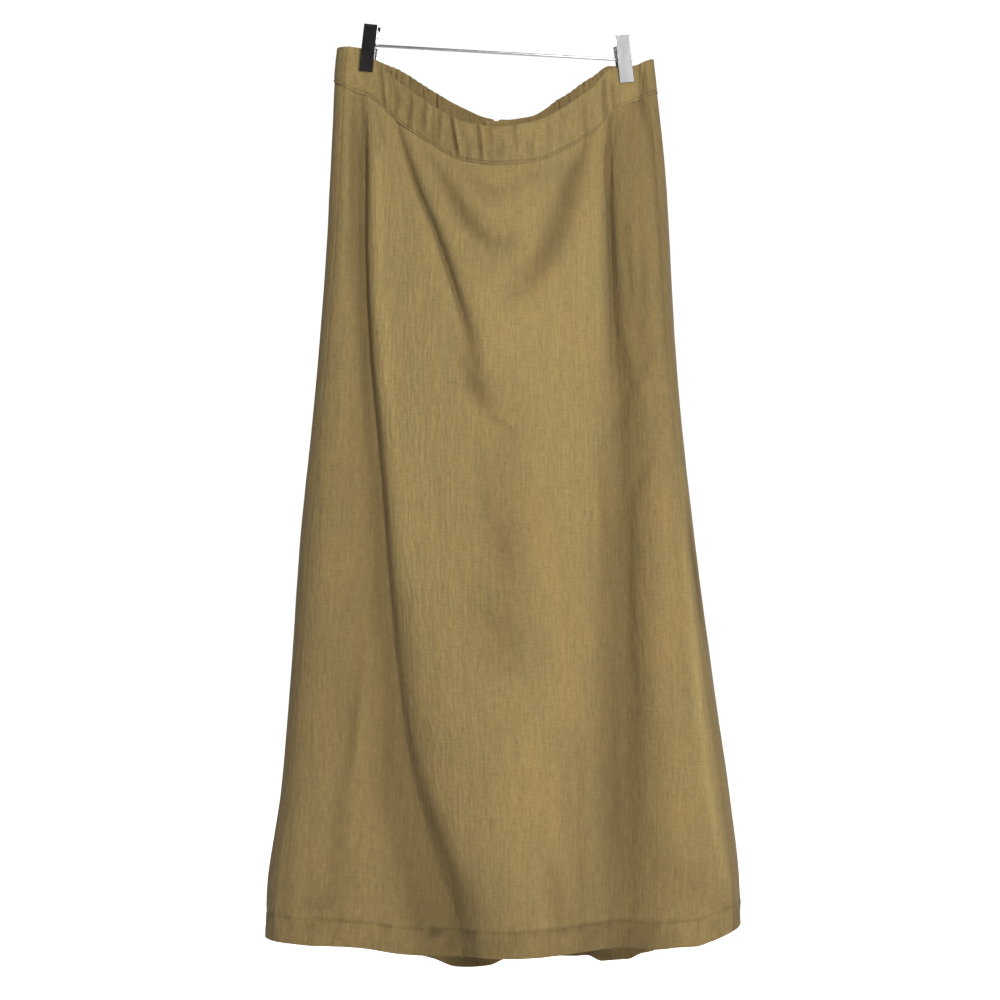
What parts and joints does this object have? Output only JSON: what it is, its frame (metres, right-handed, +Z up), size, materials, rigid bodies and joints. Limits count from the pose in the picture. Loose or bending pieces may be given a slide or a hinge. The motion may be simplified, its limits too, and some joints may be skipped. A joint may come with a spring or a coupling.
{
  "type": "midi skirt on a clip hanger",
  "caption": "Linen midi skirt with a plain front waistband, a gathered elastic back and a zip, hanging by its waistband from the clips of a hanger rod.",
  "frame": {"origin": "the middle of the hanger's rod, where the hanger is held", "axes": "+Z up, the skirt's front towards -Y, +X to the right of someone who faces the front"},
  "size_m": [0.4897, 0.1542, 0.9815],
  "materials": {
    "linen": "matte plain weave with fine upright slubs",
    "zip_tape": "matte woven tape with a closed coil",
    "zip_metal": "satin",
    "chrome": "polished",
    "spring_steel": "satin"
  },
  "bodies": {
    "skirt": {"front_panel_left_side": "linen", "front_panel_left_quarter_top": "linen", "front_panel_left_quarter": "linen", "front_panel_left_middle_top": "linen", "front_panel_left_middle": "linen", "front_panel_right_side": "linen", "front_panel_right_quarter_top": "linen", "front_panel_right_quarter": "linen", "front_panel_right_middle_top": "linen", "front_panel_right_middle": "linen", "back_panel_right_side": "linen", "back_panel_right_quarter_top": "linen", "back_panel_right_quarter": "linen", "back_panel_right_middle_top": "linen", "back_panel_right_middle": "linen", "back_panel_left_side": "linen", "back_panel_left_quarter_top": "linen", "back_panel_left_quarter": "linen", "back_panel_left_middle_top": "linen", "back_panel_left_middle": "linen", "front_waistband": "linen", "back_waistband_right": "linen", "back_waistband_left": "linen", "zip_tape": "zip_tape", "zip_slider": "zip_metal", "hanger_rod": "chrome", "clip_left_front_jaw": "chrome", "clip_left_back_jaw": "chrome", "clip_left_pin": "chrome", "clip_left_spring": "spring_steel", "clip_right_front_jaw": "chrome", "clip_right_back_jaw": "chrome", "clip_right_pin": "chrome", "clip_right_spring": "spring_steel"},
    "zip_pull": {"zip_pull": "zip_metal"}
  },
  "joints": [
    {"name": "zip_pull_hinge", "type": "hinge", "parent": "skirt", "child": "zip_pull", "pos_m": [-0.00042, 0.01496, -0.07447], "axis": [1, 0, 0], "range_deg": [0, 170]}
  ]
}
